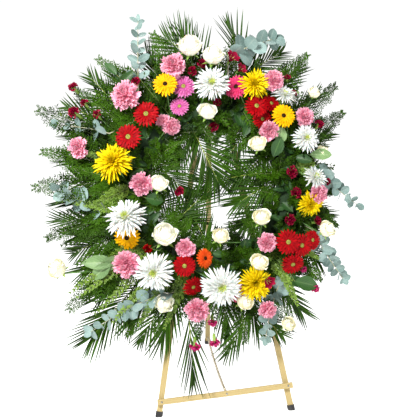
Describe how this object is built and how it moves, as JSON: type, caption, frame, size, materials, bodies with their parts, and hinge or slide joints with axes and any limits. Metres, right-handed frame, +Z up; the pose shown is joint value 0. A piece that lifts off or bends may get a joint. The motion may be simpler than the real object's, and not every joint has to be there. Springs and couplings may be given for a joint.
{
  "type": "funeral wreath on easel",
  "caption": "Open ring wreath of mixed blooms and greens on a planted foam ring, hung on a folding wooden easel with a hinged rear leg and a stay chain.",
  "frame": {"origin": "on the floor under the middle of the outline of the wreath and easel", "axes": "+Z up, +X to the right as seen by a viewer in front, -Y towards that viewer"},
  "size_m": [1.055, 0.7994, 1.271],
  "materials": {
    "wood": "satin",
    "rubber": "matt",
    "steel": "satin",
    "brass": "satin",
    "plastic": "matt",
    "foam": "matt",
    "palm_leaf": "satin",
    "eucalyptus_leaf": "matt",
    "cedar_leaf": "satin",
    "white_petal": "matt",
    "ivory_petal": "matt",
    "yellow_petal": "matt",
    "red_petal": "matt",
    "pink_petal": "matt",
    "burgundy_petal": "matt",
    "magenta_petal": "matt"
  },
  "bodies": {
    "wreath_and_frame": {"front_leg_left": "wood", "front_leg_right": "wood", "crossbar": "wood", "head_block": "wood", "foot_tip_left": "rubber", "foot_tip_right": "rubber", "crossbar_screw_left": "steel", "crossbar_screw_middle": "steel", "crossbar_screw_right": "steel", "hanging_strap": "steel", "hinge_front_leaf": "steel", "chain": "brass", "ring_tray": "plastic", "foam_ring": "foam", "palm_fronds_top": "palm_leaf", "palm_fronds_left_high": "palm_leaf", "palm_fronds_left_low": "palm_leaf", "palm_fronds_lower_left": "palm_leaf", "palm_fronds_bottom": "palm_leaf", "palm_frond_inner_high": "palm_leaf", "palm_frond_inner_right": "palm_leaf", "palm_frond_inner_low": "palm_leaf", "eucalyptus_top_left": "eucalyptus_leaf", "eucalyptus_top": "eucalyptus_leaf", "eucalyptus_left": "eucalyptus_leaf", "eucalyptus_lower_left": "eucalyptus_leaf", "eucalyptus_right": "eucalyptus_leaf", "eucalyptus_lower_right": "eucalyptus_leaf", "cedar_garland_left": "cedar_leaf", "cedar_garland_lower_left": "cedar_leaf", "cedar_garland_lower_right": "cedar_leaf", "cedar_garland_right": "cedar_leaf", "white_blooms_lower_left": "white_petal", "white_blooms_top": "white_petal", "white_blooms_left": "white_petal", "white_mums_right": "white_petal", "white_and_cream_roses_low": "ivory_petal", "white_roses_right": "ivory_petal", "white_roses_lower_right": "ivory_petal", "yellow_gerbera_top_left": "yellow_petal", "yellow_blooms_upper_right": "yellow_petal", "yellow_blooms_left": "yellow_petal", "yellow_mum_bottom": "yellow_petal", "yellow_mum_right": "yellow_petal", "red_gerberas_left": "red_petal", "red_gerberas_right": "red_petal", "red_gerberas_upper_right": "red_petal", "red_gerberas_bottom": "red_petal", "pink_blooms_top": "pink_petal", "pink_carnations_left": "pink_petal", "pink_blooms_upper_right": "pink_petal", "pink_carnations_lower_left": "pink_petal", "pink_blooms_bottom": "magenta_petal", "pink_blooms_right": "magenta_petal", "burgundy_blooms_left": "burgundy_petal", "burgundy_blooms_top": "burgundy_petal", "burgundy_blooms_right": "burgundy_petal"},
    "rear_leg": {"rear_leg": "wood", "foot_tip_rear": "rubber", "hinge_rear_leaf": "steel"}
  },
  "joints": [
    {"name": "rear_leg_fold", "type": "hinge", "parent": "wreath_and_frame", "child": "rear_leg", "pos_m": [0.0645, -0.00047, 1.13433], "axis": [-1, 0, 0], "range_deg": [0, 33], "deforming": ["chain"]}
  ]
}
